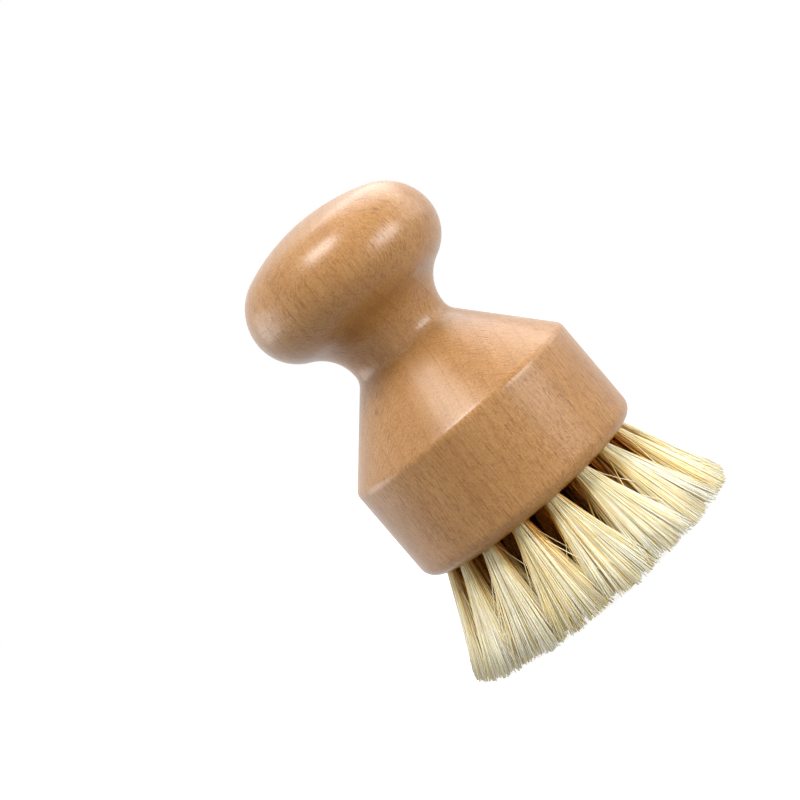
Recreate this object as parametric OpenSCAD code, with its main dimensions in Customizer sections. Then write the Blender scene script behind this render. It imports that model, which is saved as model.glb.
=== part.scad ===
// Palm brush: a one-piece turned beech block, and tufts of plant fibre set in drilled holes.
// The origin is under the middle of the brush, on the flat plane of the bristle tips.
// +Z runs up the turning axis to the crown of the knob, and -Y is the front. Millimetres.

/* [Turned block] */
// Diameter of the head over its straight side
head_d = 52; // [51:0.5:60]
// Rounding of the lower edge of the head
face_round = 3; // [1:0.1:3]
// Height of the shoulder above the bristle face
shoulder_h = 22; // [19:0.2:24]
// Rounding of the shoulder's edge
shoulder_round = 2; // [1:0.1:5]
// Diameter of the neck at its waist
neck_d = 22.6; // [18:0.2:28]
// Height of the waist above the bristle face
neck_h = 39.8; // [37:0.2:43]
// Hollow radius where the cone runs into the neck
neck_round = 3.5; // [2:0.1:5]
// Diameter of the knob at its widest
knob_d = 43.6; // [38:0.2:50]
// Height of the knob's widest line above the bristle face
knob_h = 56.5; // [54:0.2:60]
// Radius of the knob's underside
knob_under_round = 9.9; // [8:0.1:12]
// Radius of the flat dome on top of the knob
crown_round = 40; // [32:1:60]
// Height of the whole block above the bristle face
block_h = 69.6; // [67:0.2:72]

/* [Drilled holes] */
// Diameter of each tuft hole
hole_d = 4; // [3.6:0.1:4.4]
// Depth of each tuft hole along its own axis
hole_depth = 12; // [9:0.5:14]
// Distance from one ring of holes to the next
ring_gap = 6.8; // [6.4:0.1:6.9]
// Holes in the inner ring
inner_count = 6; // [4:1:6]
// Holes in the middle ring
middle_count = 11; // [9:1:12]
// Holes in the outer ring
outer_count = 17; // [14:1:18]
// Turn of the outer ring away from the front, in degrees
outer_turn = 6; // [0:1:20]
// Height above the bristle face of the point that all holes aim at
aim_h = 70; // [60:1:120]

/* [Tufts] */
// Length of the bristles below the bristle face
bristle_l = 21; // [16:0.5:28]
// Radius that the outermost tips reach
tip_reach = 32.6; // [30:0.1:36]
// Gap left between the tips of neighbouring tufts
tuft_gap = 0.3; // [0.2:0.1:1]
// Clearance between a packed root and the wall of its hole
root_clear = 0.05; // [0.02:0.01:0.1]
// How far the packed root stands out of its hole
root_stand = 1.2; // [1:0.1:2]
// Strands round the outside of a tuft
rim_strands = 9; // [7:1:9]
// Strands round the middle of a tuft
core_strands = 5; // [3:1:5]
// Thickness of a strand where it leaves the root
strand_root = 0.74; // [0.5:0.02:0.8]
// Thickness of a strand at its tip
strand_tip = 1.2; // [0.8:0.05:1.3]
// Length that a strand follows its hole before it has bent away
strand_bend = 7; // [4:0.5:9]
// Depth of the flat cut across the tips
tip_cut = 0.5; // [0.3:0.1:1]
// Difference in length between the longest and the shortest strand
tip_uneven = 0.9; // [0.5:0.1:2]

/* [Anchors] */
// Thickness of the flat wire that holds a tuft
anchor_t = 0.4; // [0.3:0.05:0.6]
// Height of the wire along the hole
anchor_h = 1.6; // [1:0.1:2.4]
// Depth that each end of the wire bites into the wood
anchor_bite = 0.25; // [0.15:0.05:0.4]
// Room for the fibres that loop over the wire
fold_room = 1.2; // [0.8:0.1:2]

/* [Hidden] */
// Facets of turned and drilled shapes in the preview
$fn = 96;
// Degrees between the points of a turned arc
arc_step = 6;
// Seed of the small differences between strands
strand_seed = 27;
// Depth that a strand starts inside the packed root
strand_sunk = 0.5;
// Share of the packed root's radius at which the rim and the core strands start
rim_share = 0.78;
core_share = 0.37;
// Share of the strand's length at which its bend is drawn
bend_share = 0.4;
// Sides of a strand
strand_sides = 3;
// How square the bundle is at its tips: 2 is round, more is squarer
tip_square = 4;
// How far a cutting shape runs past the surface that it cuts
cut_over = 1;

head_r = head_d / 2;
neck_r = neck_d / 2;
knob_r = knob_d / 2;
hole_r = hole_d / 2;
root_r = hole_r - root_clear;
face_z = bristle_l;

RINGS = ["center", "inner", "middle", "outer"];
ring_count = [1, inner_count, middle_count, outer_count];
ring_turn = [0, 0, 0, outer_turn];
function ring_r(ring) = ring * ring_gap;
function tuft_turn(ring, i) = -90 + ring_turn[ring] + i * 360 / ring_count[ring];
function tuft_lean(ring) = atan(ring_r(ring) / aim_h);

function two_digits(i) = str(i < 10 ? "0" : "", i);
function tuft_name(ring, i) = str("tuft_", RINGS[ring], "_", two_digits(i + 1));
TUFTS = [for (ring = [0:3]) for (i = [0:ring_count[ring] - 1]) [ring, i]];

// Points of an arc about c, from angle a to angle b; first is 1 where the last arc ends at its start
function arc(c, r, a, b, first = 0) =
    let (steps = max(1, ceil(abs(b - a) / arc_step)))
    [for (i = [first:steps]) c + r * [cos(a + (b - a) * i / steps), sin(a + (b - a) * i / steps)]];

// The cone leaves the shoulder's corner and touches the hollow at the foot of the neck
neck_foot = [neck_r + neck_round, neck_h];
shoulder = [head_r, shoulder_h];
cone_lean = atan((head_r - neck_foot[0]) / (neck_h - shoulder_h))
    + asin(neck_round / norm(neck_foot - shoulder));
shoulder_tangent = shoulder_round * tan(cone_lean / 2);

// The upper hollow of the neck touches the knob's underside
knob_under = [knob_r - knob_under_round, knob_h];
neck_inset = neck_r - knob_under[0];
neck_rise = knob_h - neck_h;
neck_top_round = (neck_inset ^ 2 + neck_rise ^ 2 - knob_under_round ^ 2)
    / (2 * (knob_under_round - neck_inset));
neck_top = [neck_r + neck_top_round, neck_h];
neck_sweep = atan((neck_top[0] - knob_under[0]) / neck_rise);

// The upper edge of the knob touches its widest line and the dome
crown_h = block_h - knob_h;
edge_round = (2 * crown_h * crown_round - knob_r ^ 2 - crown_h ^ 2) / (2 * (crown_round - knob_r));
knob_edge = [knob_r - edge_round, knob_h];
crown = [0, block_h - crown_round];
crown_sweep = atan((knob_edge[1] - crown[1]) / knob_edge[0]);

// Outline of the turned block, from the middle of the bristle face to the top of the dome
block_outline = concat(
    [[0, 0]],
    arc([head_r - face_round, face_round], face_round, -90, 0),
    arc([head_r - shoulder_round, shoulder_h - shoulder_tangent], shoulder_round, 0, cone_lean),
    arc(neck_foot, neck_round, 180 + cone_lean, 180),
    arc(neck_top, neck_top_round, 180, 90 + neck_sweep, 1),
    arc(knob_under, knob_under_round, neck_sweep - 90, 0, 1),
    arc(knob_edge, edge_round, 0, crown_sweep, 1),
    arc(crown, crown_round, crown_sweep, 90, 1)
);

// Places its children at the mouth of a hole, with +Z along the hole into the wood
module at_hole(ring, i) {
    rotate([0, 0, tuft_turn(ring, i)])
        translate([ring_r(ring), 0, face_z])
            rotate([0, -tuft_lean(ring), 0])
                children();
}

// Height of the wire's foot above the mouth, along the hole
anchor_foot = hole_depth - root_clear - fold_room - anchor_h;

module anchor_wire(foot, h) {
    l = hole_d + 2 * anchor_bite;
    translate([-anchor_t / 2, -l / 2, foot])
        cube([anchor_t, l, h]);
}

module block() {
    color("burlywood")
        difference() {
            translate([0, 0, face_z])
                rotate_extrude()
                    polygon(block_outline);
            for (t = TUFTS)
                at_hole(t[0], t[1]) {
                    translate([0, 0, -cut_over])
                        cylinder(h = hole_depth + cut_over, r = hole_r);
                    // Slit that the wire cuts in the wall as it is driven in
                    anchor_wire(-cut_over, anchor_foot + anchor_h + cut_over);
                }
        }
}

module anchors() {
    color("silver")
        for (t = TUFTS)
            at_hole(t[0], t[1])
                anchor_wire(anchor_foot, anchor_h);
}

// Half of a tuft's share of the tip plane, across the rings and round its own ring
tip_scale = (aim_h + bristle_l) / aim_h;
tip_gap = ring_gap * tip_scale;
tip_half = (tip_gap - tuft_gap - strand_tip) / 2;
outer_in = (len(RINGS) - 1.5) * tip_gap + (tuft_gap + strand_tip) / 2;
outer_out = tip_reach - strand_tip / 2;
function tip_mid(ring) = ring == len(RINGS) - 1 ? (outer_in + outer_out) / 2 : ring * tip_gap;
function tip_deep(ring) = ring == len(RINGS) - 1 ? (outer_out - outer_in) / 2 : tip_half;
function tip_wide(ring) = PI * tip_mid(ring) / ring_count[ring] - (tuft_gap + strand_tip) / 2;

// Spot of a strand in its bundle, from -1 to 1 each way
function rim_spot(k) = [cos(360 * k / rim_strands), sin(360 * k / rim_strands)];
function core_spot(k) = [cos(360 * (k + 0.5) / core_strands), sin(360 * (k + 0.5) / core_strands)];
function squared(p) =
    p * norm(p) / (abs(p[0]) ^ tip_square + abs(p[1]) ^ tip_square) ^ (1 / tip_square);

// Where a strand leaves the packed root, in the plane that holds the hole's axis
function root_point(ring, p) =
    let (a = tuft_lean(ring), out = root_stand - strand_sunk)
    [ring_r(ring) + root_r * p[0] * cos(a) + out * sin(a), root_r * p[1],
     face_z + root_r * p[0] * sin(a) - out * cos(a)];

// Where a strand ends: a ring's tufts share it out by angle, and the middle tuft has a round patch
function tip_point(ring, p, z) =
    ring == 0 ? [tip_half * p[0], tip_half * p[1], z]
    : let (r = tip_mid(ring) + tip_deep(ring) * p[0],
           a = tip_wide(ring) * p[1] / tip_mid(ring) * 180 / PI)
      [r * cos(a), r * sin(a), z];

// Corners of a strand's section about a point, level or square to a leaning hole
function section(c, size, turn, lean) =
    [for (k = [0:strand_sides - 1])
        let (a = turn + 360 * k / strand_sides, x = size / 2 * cos(a), y = size / 2 * sin(a))
        c + [x * cos(lean), y, x * sin(lean)]];

// One strand: a root section, one where it bends, and a flat end
module strand(ring, start, finish, turn, short) {
    a = tuft_lean(ring);
    root = root_point(ring, start);
    tip = tip_point(ring, finish, max(0, short * tip_uneven - tip_cut));
    guide = root + strand_bend * [sin(a), 0, -cos(a)];
    t = bend_share;
    bend = root * (1 - t) ^ 2 + guide * 2 * t * (1 - t) + tip * t ^ 2;
    n = strand_sides;
    points = concat(
        section(root, strand_root, turn, a),
        section(bend, strand_root * (1 - t) + strand_tip * t, turn, a),
        section(tip, strand_tip, turn, 0)
    );
    sides = [for (s = [0:1]) for (k = [0:n - 1])
        let (p = s * n + k, q = s * n + (k + 1) % n)
        each [[p, q, q + n], [p, q + n, p + n]]];
    polyhedron(points, concat([[for (k = [0:n - 1]) n - 1 - k]], sides, [[for (k = [0:n - 1]) 2 * n + k]]));
}

// A bundle folded over its wire, packed tight in the hole and fanned out below it
module tuft(ring, i) {
    seed = strand_seed + 100 * ring + i;
    count = rim_strands + core_strands;
    turns = rands(0, 360 / strand_sides, count, seed);
    shorts = rands(0, 1, count, seed + 0.5);
    color("khaki")
        union() {
            difference() {
                at_hole(ring, i)
                    translate([0, 0, -root_stand])
                        cylinder(h = root_stand + hole_depth - root_clear, r = root_r);
                at_hole(ring, i)
                    anchor_wire(anchor_foot, anchor_h);
            }
            rotate([0, 0, tuft_turn(ring, i)]) {
                for (k = [0:rim_strands - 1])
                    strand(ring, rim_share * rim_spot(k), squared(rim_spot(k)), turns[k], shorts[k]);
                for (k = [0:core_strands - 1])
                    strand(ring, core_share * core_spot(k), core_share * squared(core_spot(k)) / rim_share,
                        turns[rim_strands + k], shorts[rim_strands + k]);
            }
        }
}

block();
anchors();
for (t = TUFTS)
    tuft(t[0], t[1]);
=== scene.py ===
import math
import random
import bmesh
import bpy
from mathutils import Matrix, Vector


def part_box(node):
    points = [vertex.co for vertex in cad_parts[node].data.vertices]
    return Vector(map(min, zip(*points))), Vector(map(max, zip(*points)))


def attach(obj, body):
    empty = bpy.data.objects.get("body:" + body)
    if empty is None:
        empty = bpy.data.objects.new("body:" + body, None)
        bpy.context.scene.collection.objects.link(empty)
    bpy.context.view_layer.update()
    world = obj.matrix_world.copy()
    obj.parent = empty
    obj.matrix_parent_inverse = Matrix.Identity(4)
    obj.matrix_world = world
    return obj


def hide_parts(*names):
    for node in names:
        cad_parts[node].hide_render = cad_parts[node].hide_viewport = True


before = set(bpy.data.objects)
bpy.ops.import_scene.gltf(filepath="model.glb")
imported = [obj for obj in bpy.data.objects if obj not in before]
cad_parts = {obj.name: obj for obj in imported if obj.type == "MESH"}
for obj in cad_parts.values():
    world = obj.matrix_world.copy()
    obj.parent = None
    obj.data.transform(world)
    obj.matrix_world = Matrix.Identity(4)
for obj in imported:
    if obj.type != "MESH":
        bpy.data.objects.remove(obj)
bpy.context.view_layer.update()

# The turned block is one piece of beech: a round head, a cone, a neck to hold and a knob.
# It is cut on a lathe and sanded, its lower face is drilled for 35 tufts, and it is oiled
# to a satin finish. Sizes are millimetres above the bristle face, and become metres at once.
MM = 0.001
block_low, block_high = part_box("block")
face_z = block_low.z
head_r = (block_high.y - block_low.y) / 2
block_h = block_high.z - face_z
face_round = 3 * MM
shoulder_h, shoulder_round = 22 * MM, 2 * MM
neck_r, neck_h, neck_round = 11.3 * MM, 39.8 * MM, 3.5 * MM
knob_r, knob_h, knob_under_round, crown_round = 21.8 * MM, 56.5 * MM, 9.9 * MM, 40 * MM
turned_steps = 160
face_rim = 1.2 * MM

neck_foot = Vector((neck_r + neck_round, neck_h))
shoulder = Vector((head_r, shoulder_h))
to_foot = neck_foot - shoulder
cone_lean = math.atan(-to_foot.x / to_foot.y) + math.asin(neck_round / to_foot.length)
shoulder_mid = Vector((head_r - shoulder_round, shoulder_h - shoulder_round * math.tan(cone_lean / 2)))
knob_under = Vector((knob_r - knob_under_round, knob_h))
neck_inset, neck_rise = neck_r - knob_under.x, knob_h - neck_h
neck_top_round = ((neck_inset ** 2 + neck_rise ** 2 - knob_under_round ** 2)
                  / (2 * (knob_under_round - neck_inset)))
neck_top = Vector((neck_r + neck_top_round, neck_h))
neck_sweep = math.pi / 2 - math.atan((neck_top.x - knob_under.x) / neck_rise)
crown_h = block_h - knob_h
knob_edge_round = ((2 * crown_h * crown_round - knob_r ** 2 - crown_h ** 2)
                   / (2 * (crown_round - knob_r)))
knob_edge = Vector((knob_r - knob_edge_round, knob_h))
crown = Vector((0, block_h - crown_round))
crown_sweep = math.atan((knob_edge.y - crown.y) / knob_edge.x)


def turn_arc(outline, end, middle, sweep, steps):
    """Carries the outline on about a middle (radius, height), against the clock where sweep is positive."""
    turned = bmesh.ops.spin(outline, geom=[end], cent=(middle.x, 0, middle.y), axis=(0, -1, 0),
                            angle=sweep, steps=steps, use_merge=False)
    return next(v for v in turned["geom_last"] if isinstance(v, bmesh.types.BMVert))


def run_straight(outline, end, goal, hold=0.45 * MM):
    """Carries the outline on to a goal (radius, height), with a point held close to each end."""
    start = end.co.copy()
    goal = Vector((goal.x, 0, goal.y))
    step = (goal - start).normalized() * hold
    for spot in (start + step, goal - step, goal):
        end = bmesh.ops.extrude_vert_indiv(outline, verts=[end])["verts"][0]
        end.co = spot
    return end


block_bm = bmesh.new()
end = block_bm.verts.new((head_r - face_round - face_rim, 0, 0))
end = run_straight(block_bm, end, Vector((head_r - face_round, 0)), 0.4 * MM)
end = turn_arc(block_bm, end, Vector((head_r - face_round, face_round)), math.pi / 2, 9)
end = run_straight(block_bm, end, Vector((head_r, shoulder_mid.y)))
end = turn_arc(block_bm, end, shoulder_mid, cone_lean, 5)
cone_end = neck_foot + neck_round * Vector((-math.cos(cone_lean), -math.sin(cone_lean)))
end = run_straight(block_bm, end, cone_end)
end = turn_arc(block_bm, end, neck_foot, -cone_lean, 6)
end = turn_arc(block_bm, end, neck_top, -neck_sweep, 10)
end = turn_arc(block_bm, end, knob_under, neck_sweep, 12)
end = turn_arc(block_bm, end, knob_edge, crown_sweep, 14)
end = turn_arc(block_bm, end, crown, math.pi / 2 - crown_sweep, 8)
end.co.x = 0
bmesh.ops.spin(block_bm, geom=block_bm.verts[:] + block_bm.edges[:], axis=(0, 0, 1),
               angle=2 * math.pi, steps=turned_steps, use_merge=True)
bmesh.ops.remove_doubles(block_bm, verts=block_bm.verts, dist=1e-7)

# Where the tufts sit: ring by ring, how many and how far the ring is turned from the front.
# Every hole aims at one point above the face, so the outer tufts lean outwards.
tuft_rings = (("center", 1, 0.0), ("inner", 6, 0.0), ("middle", 11, 0.0), ("outer", 17, 6.0))
outer_ring = len(tuft_rings) - 1
ring_gap, aim_h = 6.8 * MM, 70 * MM
hole_r, hole_depth, mouth_worn = 2 * MM, 12 * MM, 0.15 * MM
mouth_steps = 28


def tuft_places():
    """Each tuft's node name, ring and turn about the middle."""
    for ring, (ring_name, count, ring_turn) in enumerate(tuft_rings):
        for place in range(count):
            yield (f"tuft_{ring_name}_{place + 1:02d}", ring,
                   math.radians(-90 + ring_turn + place * 360 / count))


def hole_lean(ring):
    return math.atan(ring * ring_gap / aim_h)


face_edges = [e for e in block_bm.edges if e.is_boundary]
mouths = []
for _, ring, turn in tuft_places():
    lean = hole_lean(ring)
    mouth_place = (Matrix.Rotation(turn, 4, "Z") @ Matrix.Translation((ring * ring_gap, 0, 0))
                   @ Matrix.Diagonal((1 / math.cos(lean), 1, 1, 1)))
    rim = bmesh.ops.create_circle(block_bm, segments=mouth_steps, radius=hole_r + mouth_worn,
                                  matrix=mouth_place)["verts"]
    rim_edges = list({e for v in rim for e in v.link_edges})
    face_edges += rim_edges
    up_hole = Matrix.Rotation(turn, 3, "Z") @ Vector((-math.sin(lean), 0, math.cos(lean)))
    mouths.append((rim_edges, up_hole, mouth_place))
bmesh.ops.triangle_fill(block_bm, edges=face_edges, use_beauty=True, normal=(0, 0, -1))
for rim_edges, up_hole, mouth_place in mouths:
    for edge in rim_edges:
        edge.smooth = False
    for rise, narrowing in ((mouth_worn, hole_r / (hole_r + mouth_worn)), (hole_depth - mouth_worn, 1)):
        wall = bmesh.ops.extrude_edge_only(block_bm, edges=rim_edges)["geom"]
        wall_verts = [v for v in wall if isinstance(v, bmesh.types.BMVert)]
        bmesh.ops.scale(block_bm, verts=wall_verts, vec=(narrowing, narrowing, 1),
                        space=mouth_place.inverted())
        bmesh.ops.translate(block_bm, verts=wall_verts, vec=up_hole * rise)
        rim_edges = [e for e in wall if isinstance(e, bmesh.types.BMEdge)]
    bmesh.ops.edgeloop_fill(block_bm, edges=rim_edges)
bmesh.ops.translate(block_bm, verts=block_bm.verts, vec=(0, 0, face_z))
bmesh.ops.recalc_face_normals(block_bm, faces=block_bm.faces)
for face in block_bm.faces:
    face.smooth = True
block_mesh = bpy.data.meshes.new("turned_block")
block_bm.to_mesh(block_mesh)
block_bm.free()
turned_block = bpy.data.objects.new("turned_block", block_mesh)
bpy.context.scene.collection.objects.link(turned_block)


def add_node(tree, kind, sockets=None, **settings):
    """A shader node with its settings; a socket is given a value, or joined to another node's socket."""
    node = tree.nodes.new("ShaderNode" + kind)
    for name, value in settings.items():
        setattr(node, name, value)
    for name, value in (sockets or {}).items():
        if isinstance(value, bpy.types.NodeSocket):
            tree.links.new(value, node.inputs[name])
        else:
            node.inputs[name].default_value = value
    return node


def add_ramp(tree, amount, *stops):
    """A colour ramp from (position, colour) stops; a plain number stands for a grey."""
    ramp = add_node(tree, "ValToRGB", {"Fac": amount})
    elements = ramp.color_ramp.elements
    while len(elements) < len(stops):
        elements.new(1)
    for element, (position, colour) in zip(elements, stops):
        element.position = position
        element.color = (*colour, 1) if isinstance(colour, tuple) else (colour, colour, colour, 1)
    return ramp.outputs["Color"]


def grain_noise(tree, millimetres, stretch, detail=1.0, roughness=0.5):
    """Noise whose lumps are 1 mm divided by stretch across, on each axis."""
    spread = add_node(tree, "Mapping", {"Vector": millimetres, "Scale": stretch})
    return add_node(tree, "TexNoise", {"Vector": spread.outputs["Vector"], "Scale": 1.0,
                                       "Detail": detail, "Roughness": roughness}).outputs["Fac"]


def darken(tree, colour, by, amount):
    """A colour multiplied by another, as far as amount says."""
    mixed = add_node(tree, "Mix", data_type="RGBA", blend_type="MULTIPLY")
    for name, value in (("Factor", amount), ("A", colour), ("B", by)):
        socket = next(s for s in mixed.inputs if s.name == name and s.enabled)
        if isinstance(value, bpy.types.NodeSocket):
            tree.links.new(value, socket)
        else:
            socket.default_value = value
    return next(s for s in mixed.outputs if s.enabled)


oiled_beech = bpy.data.materials.new("oiled_beech")
oiled_beech.use_nodes = True
wood = oiled_beech.node_tree
wood.nodes.clear()
here = add_node(wood, "TexCoord").outputs["Object"]
# The board leans a little in the lathe, so its rings and fibres aren't quite upright
in_board = add_node(wood, "Mapping", {"Vector": here, "Scale": (1000, 1000, 1000),
                                      "Rotation": (math.radians(1.2), math.radians(-1.6), math.radians(7))})
board = in_board.outputs["Vector"]
# Growth rings: thin darker lines about 3 mm apart, round a heart far off to one side
rings_per_mm, ring_waver = 0.335, 1.1
heart = add_node(wood, "Mapping", {"Vector": board, "Location": (150, 10, 0), "Scale": (1, 1, 0.02)})
from_heart = add_node(wood, "VectorMath", {0: heart.outputs["Vector"]}, operation="LENGTH").outputs["Value"]
ring_sway = grain_noise(wood, board, (0.05, 0.05, 0.008), 2.0)
ring_count = add_node(wood, "Math", {0: from_heart, 1: rings_per_mm}, operation="MULTIPLY").outputs[0]
ring_count = add_node(wood, "Math", {0: ring_sway, 1: ring_waver, 2: ring_count},
                      operation="MULTIPLY_ADD").outputs[0]
ring_phase = add_node(wood, "Math", {0: ring_count}, operation="FRACT").outputs[0]
late_wood = add_ramp(wood, ring_phase, (0.0, 0.0), (0.5, 0.08), (0.84, 0.4), (0.92, 1.0),
                     (0.97, 0.9), (1.0, 0.0))
ring_strength = add_ramp(wood, grain_noise(wood, board, (0.16, 0.16, 0.02)), (0.3, 0.25), (0.7, 1.0))
late_wood = add_node(wood, "Math", {0: late_wood, 1: ring_strength}, operation="MULTIPLY").outputs[0]
# Rays: thin plates that run from heart to bark. Cut across, they are fine dark dashes; at the
# front and back of the turning they lie flat in the surface, and show only faintly
ray_noise = grain_noise(wood, board, (0.35, 6.0, 0.6))
rays = add_ramp(wood, ray_noise, (0.0, 0.0), (0.58, 0.0), (0.67, 1.0))
board_parts = add_node(wood, "SeparateXYZ", {"Vector": board}).outputs
cut_across = add_node(wood, "Math", {0: board_parts["Y"], 1: board_parts["X"]}, operation="ARCTAN2")
cut_across = add_node(wood, "Math", {0: cut_across.outputs[0]}, operation="COSINE")
cut_across = add_node(wood, "Math", {0: cut_across.outputs[0]}, operation="ABSOLUTE")
ray_share = add_node(wood, "MapRange", {"Value": cut_across.outputs[0], "From Min": 0.1, "From Max": 0.6,
                                        "To Min": 0.14, "To Max": 0.8})
rays = add_node(wood, "Math", {0: rays, 1: ray_share.outputs[0]}, operation="MULTIPLY").outputs[0]
# Long fine fibres, short pores, and specks that break both up; all is darker than plain beech
fibre_noise = grain_noise(wood, board, (3.4, 3.4, 0.27), 4.0, 0.68)
pore_noise = grain_noise(wood, board, (6.0, 6.0, 1.1), 2.0, 0.6)
pores = add_ramp(wood, pore_noise, (0.0, 0.0), (0.54, 0.0), (0.7, 1.0))
speckle = grain_noise(wood, board, (3.2, 3.2, 2.2), 3.0, 0.65)
mottle = grain_noise(wood, board, (0.11, 0.11, 0.07), 3.0)
streak_share = fleck_share = 0.9
wood_colour = add_ramp(wood, mottle, (0.3, (0.415, 0.208, 0.064)), (0.5, (0.46, 0.239, 0.080)),
                       (0.72, (0.50, 0.268, 0.096)))
streaks = add_ramp(wood, fibre_noise, (0.32, (0.66, 0.53, 0.38)), (0.47, (0.91, 0.87, 0.80)), (0.62, 1.0))
wood_colour = darken(wood, wood_colour, streaks, streak_share)
flecks = add_ramp(wood, speckle, (0.34, (0.78, 0.69, 0.55)), (0.5, (0.95, 0.93, 0.89)), (0.64, 1.0))
wood_colour = darken(wood, wood_colour, flecks, fleck_share)
wood_colour = darken(wood, wood_colour, (0.86, 0.79, 0.68, 1), late_wood)
wood_colour = darken(wood, wood_colour, (0.58, 0.44, 0.25, 1), rays)
pore_share = add_node(wood, "Math", {0: pores, 1: 0.4}, operation="MULTIPLY").outputs[0]
wood_colour = darken(wood, wood_colour, (0.72, 0.60, 0.44, 1), pore_share)
grain_height = add_node(wood, "Math", {0: pores, 1: -0.5, 2: speckle}, operation="MULTIPLY_ADD")
grain_relief = add_node(wood, "Bump", {"Height": grain_height.outputs[0],
                                       "Distance": 0.00011, "Strength": 0.75})
satin = add_node(wood, "MapRange", {"Value": fibre_noise, "From Min": 0.3, "From Max": 0.7,
                                    "To Min": 0.29, "To Max": 0.38})
beech_skin = add_node(wood, "BsdfPrincipled", {"Base Color": wood_colour, "Roughness": satin.outputs[0],
                                               "Specular IOR Level": 0.2,
                                               "Coat Weight": 0.6, "Coat Roughness": 0.27,
                                               "Normal": grain_relief.outputs[0]})
add_node(wood, "OutputMaterial", {"Surface": beech_skin.outputs[0]})
block_mesh.materials.append(oiled_beech)
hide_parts("block")
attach(turned_block, "root")

# The anchors are short lengths of flat steel wire, one in each hole, cut off the roll and
# driven in with the folded bundle, so that both ends bite into the wood.
bright_wire = bpy.data.materials.new("bright_wire")
bright_wire.use_nodes = True
wire = bright_wire.node_tree
wire.nodes.clear()
wire_place = add_node(wire, "Mapping", {"Vector": add_node(wire, "TexCoord").outputs["Object"],
                                        "Scale": (1000, 1000, 1000)}).outputs["Vector"]
drawn_lines = grain_noise(wire, wire_place, (1.5, 1.5, 14.0), 2.0)
wire_colour = add_ramp(wire, drawn_lines, (0.3, (0.42, 0.42, 0.43)), (0.7, (0.62, 0.62, 0.63)))
wire_satin = add_node(wire, "MapRange", {"Value": drawn_lines, "To Min": 0.22, "To Max": 0.42})
wire_skin = add_node(wire, "BsdfPrincipled", {"Base Color": wire_colour, "Metallic": 1.0,
                                              "Roughness": wire_satin.outputs[0]})
add_node(wire, "OutputMaterial", {"Surface": wire_skin.outputs[0]})
anchor_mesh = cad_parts["anchors"].data
anchor_mesh.materials.clear()
anchor_mesh.materials.append(bright_wire)

# The tufts are bundles of cream plant fibre, each folded in half over its anchor and packed
# tight in its hole. Below the face the fibres fan out until they meet their neighbours, and
# all are trimmed together, a little unevenly, so the brush stands on its tips.
root_r = hole_r - 0.1 * MM
wire_top = 10.75 * MM
tip_reach = 32.1 * MM
fibre_r = 0.08 * MM
fibre_points, fibre_sides = 7, 4
tip_gap = ring_gap * (aim_h + face_z) / aim_h
tip_in = (outer_ring - 0.5) * tip_gap
# Shares of a tuft's own half width: how far it spreads among its neighbours, how far a wisp
# stands out, how much the corners are trimmed, and how much of the root the wire takes up
tip_share, wisp_out, corner_trim, wire_share = 1.2, 0.03, 0.06, 0.14
folded_outer, folded_others = 290, 170
locks_in_tuft, lock_pull = 18, 0.3
stray_outer, stray_others, wisp_luck = 0.018, 0.006, 0.05
root_edge, root_crowding, tip_jitter = 0.95, 0.7, (0.08, 0.10)
lock_short, fibre_short = 0.4 * MM, 0.75 * MM
pale_shade, straw_shade, pale_luck, lock_shade = (0.81, 0.09), (0.56, 0.1), 0.88, 0.06
tip_width, root_narrowing = 1.4, 0.5
# Painted shade on the fibres, standing in for the light that fades from tip to face: how fast it darkens
# among the inner rings, on the inner side of an outer tuft, deep in it, and on its outer side, most of all
# at its flanks
inner_fade, front_fade = 0.6, 1.5
back_painted_shade, back_face_painted_shade, deep_painted_shade = 0.22, 0.65, 0.2
front_painted_shade, flank_painted_shade, flank_fade = 0.16, 0.75, 2.5


def tip_spot(ring, spot):
    """Where a full-length fibre ends: a spot from -1 to 1 each way in the tuft's share of the tip plane."""
    count = tuft_rings[ring][1]
    if ring == 0:
        return Vector((spot.x * tip_gap / 2, spot.y * tip_gap / 2, fibre_r))
    middle, deep = (ring * tip_gap, tip_gap / 2)
    if ring == outer_ring:
        middle, deep = (tip_in + tip_reach) / 2, (tip_reach - tip_in) / 2
    out = middle + deep * spot.x
    angle = math.pi / count * spot.y
    return Vector((out * math.cos(angle), out * math.sin(angle), fibre_r))


def squared(spot):
    """Spreads a round bundle to the corners of its share."""
    size = (spot.x ** 4 + spot.y ** 4) ** 0.25
    return spot * (spot.length / size) if size else spot


def fibre_end(ring, root, goal, short, reach, sway):
    """One end of a fibre, from the mouth of its hole to its tip, which may be trimmed short."""
    lean = hole_lean(ring)
    start = Vector((ring * ring_gap + root.x * math.cos(lean), root.y, face_z + root.x * math.sin(lean)))
    goal = goal.lerp(start, short / face_z)
    guide = start + reach * Vector((math.sin(lean), 0, -math.cos(lean)))
    path = []
    for step in range(fibre_points):
        t = step / (fibre_points - 1)
        spot = start * (1 - t) ** 2 + guide * (2 * t * (1 - t)) + goal * t ** 2
        bow = math.sin(math.pi * t * sway[2] + sway[3]) - math.sin(sway[3])
        path.append(spot + Vector((sway[0], sway[1], 0)) * bow * t)
    return path


def fold_over_wire(ring, root_a, root_b):
    """The part of a fibre in its hole: up one side, over the wire and down the other."""
    lean = hole_lean(ring)
    along = Matrix.Translation((ring * ring_gap, 0, face_z)) @ Matrix.Rotation(-lean, 4, "Y")
    loop = 0.25 * MM + 0.35 * (root_b.x - root_a.x) / 2
    spots = ((root_a.x, root_a.y, wire_top), (0, (root_a.y + root_b.y) / 2, wire_top + loop),
             (root_b.x, root_b.y, wire_top))
    return [along @ Vector(spot) for spot in spots]


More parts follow.
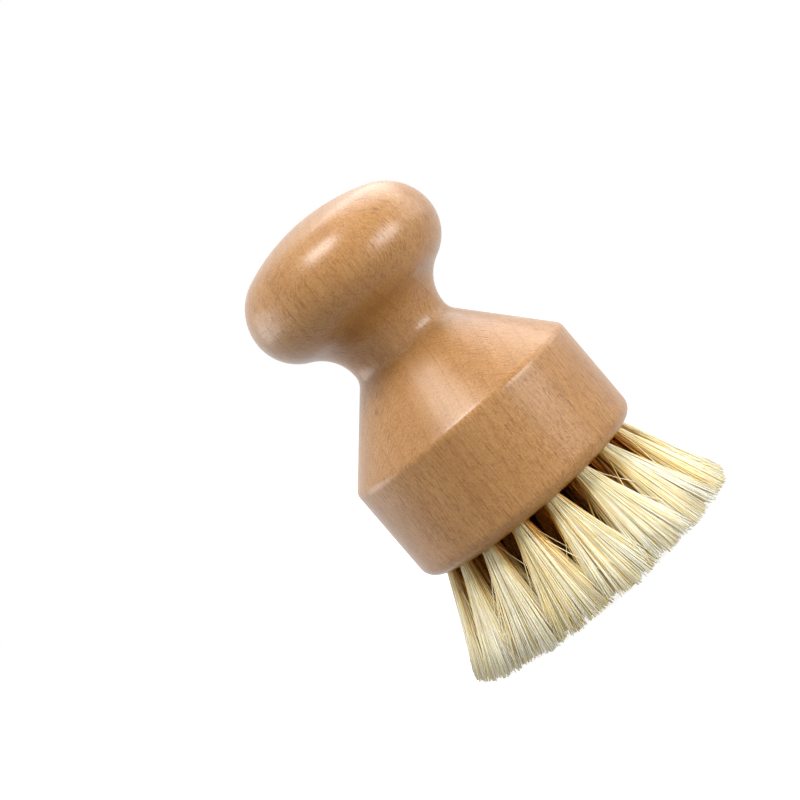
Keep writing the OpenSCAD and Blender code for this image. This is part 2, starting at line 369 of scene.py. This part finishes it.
def painted_fibre_shade(ring, way, across, depth, spot):
    """How much shade is painted on a point of a fibre, for lying in the shade of the other fibres."""
    up = min(1.0, spot.z / face_z)
    if ring < outer_ring:
        return up ** inner_fade
    if way < 0:
        return back_painted_shade + back_face_painted_shade * up ** front_fade
    return deep_painted_shade * depth + (front_painted_shade + flank_painted_shade * abs(across) ** flank_fade) * up ** front_fade


def tuft_fibres(ring, chance):
    """The path, the tones with painted shade, and the width of each fibre of one tuft, in the plane of its
    hole.
    """
    outer = ring == outer_ring
    folded = folded_outer if outer else folded_others
    stray_luck = stray_outer if outer else stray_others
    locks = [(Vector((chance.uniform(-1, 1), chance.uniform(-1, 1))), chance.gauss(0, lock_shade),
              abs(chance.gauss(0, lock_short))) for _ in range(locks_in_tuft)]
    for _ in range(folded):
        across = chance.uniform(-root_edge, root_edge)
        side = math.sqrt(1 - across ** 2)
        ends = []
        for way in (-1, 1):
            out_share = wire_share + (side - wire_share) * chance.random() ** root_crowding
            root = Vector((way * out_share, across))
            goal = squared(root) * tip_share + Vector([chance.gauss(0, spread) for spread in tip_jitter])
            goal.x = min(goal.x, 1 - corner_trim * abs(goal.y))
            lock = min(locks, key=lambda k: (k[0] - goal).length)
            goal = goal.lerp(lock[0], chance.uniform(0.0, lock_pull))
            short = abs(chance.gauss(0, fibre_short)) + lock[2]
            reach = chance.uniform(0.8, 4.0) * MM
            sway = [chance.gauss(0, 0.12) * MM, chance.gauss(0, 0.12) * MM,
                    chance.uniform(0.6, 1.6), chance.uniform(0, 6)]
            luck = chance.random()
            if luck < stray_luck:
                goal.y += chance.choice((-1, 1)) * chance.uniform(0.8, 1.8)
                short += chance.uniform(0.5, 3.5) * MM
                sway = [chance.gauss(0, 0.5) * MM, chance.gauss(0, 0.8) * MM,
                        chance.uniform(1.2, 2.6), chance.uniform(0, 6)]
            elif outer and root.x > 0 and luck < wisp_luck:
                goal.x = 1 + chance.uniform(0, wisp_out)
                short += chance.uniform(0, 5) * MM
                reach = chance.uniform(1, 9) * MM
            path = fibre_end(ring, root * root_r, tip_spot(ring, goal), short, reach, sway)
            depth = 1 - abs(root.x) / side
            # Each point's value is its lock's tone less the shade painted on it there
            end_shades = [lock[1] - painted_fibre_shade(ring, way, across, depth, spot) for spot in path]
            ends.append((root * root_r, path, end_shades))
        (root_a, path_a, shades_a), (root_b, path_b, shades_b) = ends
        fold = fold_over_wire(ring, root_a, root_b)
        path = path_a[::-1] + fold + path_b
        # The fibre's own tone, pale or straw at random; the shade painted on its ends is added to it, and
        # the fold in the hole is painted darkest
        shade = chance.gauss(*(pale_shade if chance.random() < pale_luck else straw_shade))
        shades = [shade + change for change in shades_a[::-1] + [-1.0] * len(fold) + shades_b]
        yield path, shades, chance.uniform(0.8, 1.15)


plant_fibre = bpy.data.materials.new("plant_fibre")
plant_fibre.use_nodes = True
fibre = plant_fibre.node_tree
fibre.nodes.clear()
fibre_place = add_node(fibre, "Mapping", {"Vector": add_node(fibre, "TexCoord").outputs["Object"],
                                          "Scale": (1000, 1000, 1000)}).outputs["Vector"]
# The shade attribute holds each fibre's own tone less its painted shade; the ramp's brown low end is mostly
# painted shade among the fibres and near the face, its upper part the fibres' own straw and pale tones
shade_of_fibre = add_node(fibre, "Attribute", attribute_name="shade").outputs["Fac"]
fibre_colour = add_ramp(fibre, shade_of_fibre, (0.0, (0.52, 0.16, 0.010)), (0.25, (0.80, 0.50, 0.15)),
                        (0.5, (0.95, 0.79, 0.44)), (0.75, (0.98, 0.90, 0.66)), (1.0, (0.99, 0.95, 0.84)))
along_fibre = grain_noise(fibre, fibre_place, (1.2, 1.2, 0.35), 3.0)
weathering = add_ramp(fibre, along_fibre, (0.3, (0.94, 0.86, 0.70)), (0.55, 1.0))
fibre_colour = darken(fibre, fibre_colour, weathering, 0.8)
fine_ridges = grain_noise(fibre, fibre_place, (11.0, 11.0, 1.2), 2.0)
ridge_relief = add_node(fibre, "Bump", {"Height": fine_ridges, "Distance": 0.00002, "Strength": 0.4})
fibre_satin = add_node(fibre, "MapRange", {"Value": fine_ridges, "To Min": 0.48, "To Max": 0.66})
fibre_skin = add_node(fibre, "BsdfPrincipled", {"Base Color": fibre_colour,
                                                "Roughness": fibre_satin.outputs[0],
                                                "Specular IOR Level": 0.12,
                                                "Subsurface Weight": 0.35, "Subsurface Scale": 0.0004,
                                                "Subsurface Radius": (1.0, 0.7, 0.35),
                                                "Normal": ridge_relief.outputs[0]})
add_node(fibre, "OutputMaterial", {"Surface": fibre_skin.outputs[0]})

first_seed = 4100
for number, (tuft_name, ring, turn) in enumerate(tuft_places()):
    bundle = bpy.data.curves.new(tuft_name + "_fibres", "CURVE")
    bundle.dimensions = "3D"
    bundle.bevel_depth = fibre_r
    bundle.bevel_resolution = 0
    about_middle = Matrix.Rotation(turn, 4, "Z")
    shade_of_points = []
    for path, shades, width in tuft_fibres(ring, random.Random(first_seed + number)):
        strand = bundle.splines.new("POLY")
        strand.points.add(len(path) - 1)
        for point, spot in zip(strand.points, path):
            point.co = (*(about_middle @ spot), 1)
            point.radius = width * (tip_width - root_narrowing * min(1.0, spot.z / face_z))
        for shade in shades:
            shade_of_points += [max(0.0, min(1.0, shade))] * fibre_sides
    drawn = bpy.data.objects.new(tuft_name + "_drawn", bundle)
    bpy.context.scene.collection.objects.link(drawn)
    tuft_mesh = bpy.data.meshes.new_from_object(drawn.evaluated_get(bpy.context.evaluated_depsgraph_get()))
    bpy.data.objects.remove(drawn)
    tuft_mesh.name = tuft_name + "_fibres"
    shade_of = tuft_mesh.attributes.new("shade", "FLOAT", "POINT")
    shade_of.data.foreach_set("value", shade_of_points)
    tuft_bm = bmesh.new()
    tuft_bm.from_mesh(tuft_mesh)
    bmesh.ops.holes_fill(tuft_bm, edges=tuft_bm.edges, sides=fibre_sides)
    tuft_bm.to_mesh(tuft_mesh)
    tuft_bm.free()
    tuft_mesh.shade_smooth()
    tuft_mesh.materials.clear()
    tuft_mesh.materials.append(plant_fibre)
    tuft = bpy.data.objects.new(tuft_name + "_fibres", tuft_mesh)
    bpy.context.scene.collection.objects.link(tuft)
    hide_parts(tuft_name)
    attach(tuft, "root")

# The floor is a plain pale board under the brush, and catches its shadow. It lets the white
# room's light through from below, and is clear from there, so that the tips can be looked at.
floor_bm = bmesh.new()
floor_half = 3
bmesh.ops.create_grid(floor_bm, x_segments=1, y_segments=1, size=floor_half)
floor_mesh = bpy.data.meshes.new("pale_floor")
floor_bm.to_mesh(floor_mesh)
floor_bm.free()
pale_floor = bpy.data.objects.new("pale_floor", floor_mesh)
bpy.context.scene.collection.objects.link(pale_floor)
pale_board = bpy.data.materials.new("pale_board")
pale_board.use_nodes = True
board_tree = pale_board.node_tree
board_tree.nodes.clear()
seen_skin = add_node(board_tree, "BsdfDiffuse", {"Color": (0.5, 0.5, 0.5, 1)})
seen_glow = add_node(board_tree, "Emission", {"Color": (1, 1, 1, 1), "Strength": 0.8})
seen_board = add_node(board_tree, "AddShader", {0: seen_skin.outputs[0], 1: seen_glow.outputs[0]})
mirrored_board = add_node(board_tree, "Emission", {"Color": (1, 1, 1, 1), "Strength": 1.0})
clear_board = add_node(board_tree, "BsdfTransparent")
# The camera sees the board with the brush's shadow on it, and a shiny surface sees plain white
board_ray = add_node(board_tree, "LightPath").outputs
board_mix = add_node(board_tree, "MixShader", {0: board_ray["Is Camera Ray"], 1: clear_board.outputs[0],
                                               2: seen_board.outputs[0]})
mirrored = add_node(board_tree, "Math", {0: board_ray["Is Glossy Ray"], 1: board_ray["Is Transmission Ray"]},
                    operation="MAXIMUM")
board_mix = add_node(board_tree, "MixShader", {0: mirrored.outputs[0], 1: board_mix.outputs[0],
                                               2: mirrored_board.outputs[0]})
under_board = add_node(board_tree, "NewGeometry").outputs["Backfacing"]
board_mix = add_node(board_tree, "MixShader", {0: under_board, 1: board_mix.outputs[0],
                                               2: clear_board.outputs[0]})
add_node(board_tree, "OutputMaterial", {"Surface": board_mix.outputs[0]})
floor_mesh.materials.append(pale_board)

# The light: a white room, a soft lamp high in front, one low on the right, one behind on each
# side for the pale edges, and one above and behind for the top.
studio = bpy.data.worlds.new("white_room")
bpy.context.scene.world = studio
studio.use_nodes = True
room = studio.node_tree
room.nodes.clear()
room_ray = add_node(room, "LightPath").outputs
seen = add_node(room, "Math", {0: room_ray["Is Camera Ray"], 1: room_ray["Is Glossy Ray"]},
                operation="MAXIMUM")
seen = add_node(room, "Math", {0: seen.outputs[0], 1: room_ray["Is Transmission Ray"]}, operation="MAXIMUM")
room_light = add_node(room, "Background", {"Color": (1, 1, 1, 1), "Strength": 0.44})
room_seen = add_node(room, "Background", {"Color": (1, 1, 1, 1), "Strength": 1.0})
room_mix = add_node(room, "MixShader", {0: seen.outputs[0], 1: room_light.outputs[0],
                                        2: room_seen.outputs[0]})
add_node(room, "OutputWorld", {"Surface": room_mix.outputs[0]})

lit_middle = Vector((0, 0, 0.05))
for lamp_name, round_to, height, away, width, depth, power in (
        ("high_lamp", -4, 66, 0.6, 0.28, 0.22, 3.4),
        ("side_lamp", 59, 6, 0.6, 0.34, 0.2, 2.6),
        ("left_back_lamp", -108, 12, 0.7, 0.5, 0.4, 1.7),
        ("right_back_lamp", 110, 14, 0.7, 0.4, 0.4, 0.9),
        ("back_lamp", 142, 44, 0.7, 0.6, 0.5, 2.4)):
    lamp_data = bpy.data.lights.new(lamp_name, "AREA")
    lamp_data.shape = "RECTANGLE"
    lamp_data.size, lamp_data.size_y, lamp_data.energy = width, depth, power
    towards = Vector((math.sin(math.radians(round_to)) * math.cos(math.radians(height)),
                      -math.cos(math.radians(round_to)) * math.cos(math.radians(height)),
                      math.sin(math.radians(height))))
    lamp = bpy.data.objects.new(lamp_name, lamp_data)
    lamp.location = lit_middle + towards * away
    lamp.rotation_euler = towards.to_track_quat("Z", "Y").to_euler()
    bpy.context.scene.collection.objects.link(lamp)

# The camera looks from the front, a little above the bristle face and rolled, so that the
# standing brush lies across the picture.
picture_px, focal_px, sensor_mm = 800, 1946.1, 36
aim_right_px, aim_up_px = 131.086, 93.73
looking_down, rolled = math.radians(7.857), math.radians(-40.273)
camera_away = 14.72 * head_r
camera_data = bpy.data.cameras.new("front_camera")
camera_data.sensor_width = sensor_mm
camera_data.lens = sensor_mm * focal_px / picture_px
camera = bpy.data.objects.new("front_camera", camera_data)
camera_spot = Vector((0, -math.cos(looking_down), math.sin(looking_down))) * camera_away
camera_spot += Vector((0, 0, face_z))
camera.matrix_world = (Matrix.Translation(camera_spot)
                       @ Matrix.Rotation(math.pi / 2 - looking_down, 4, "X")
                       @ Matrix.Rotation(rolled, 4, "Z")
                       @ Matrix.Rotation(math.atan2(aim_right_px, focal_px), 4, "Y")
                       @ Matrix.Rotation(math.atan2(aim_up_px, focal_px), 4, "X"))
bpy.context.scene.collection.objects.link(camera)
bpy.context.scene.camera = camera
bpy.context.scene.view_settings.view_transform = "Standard"
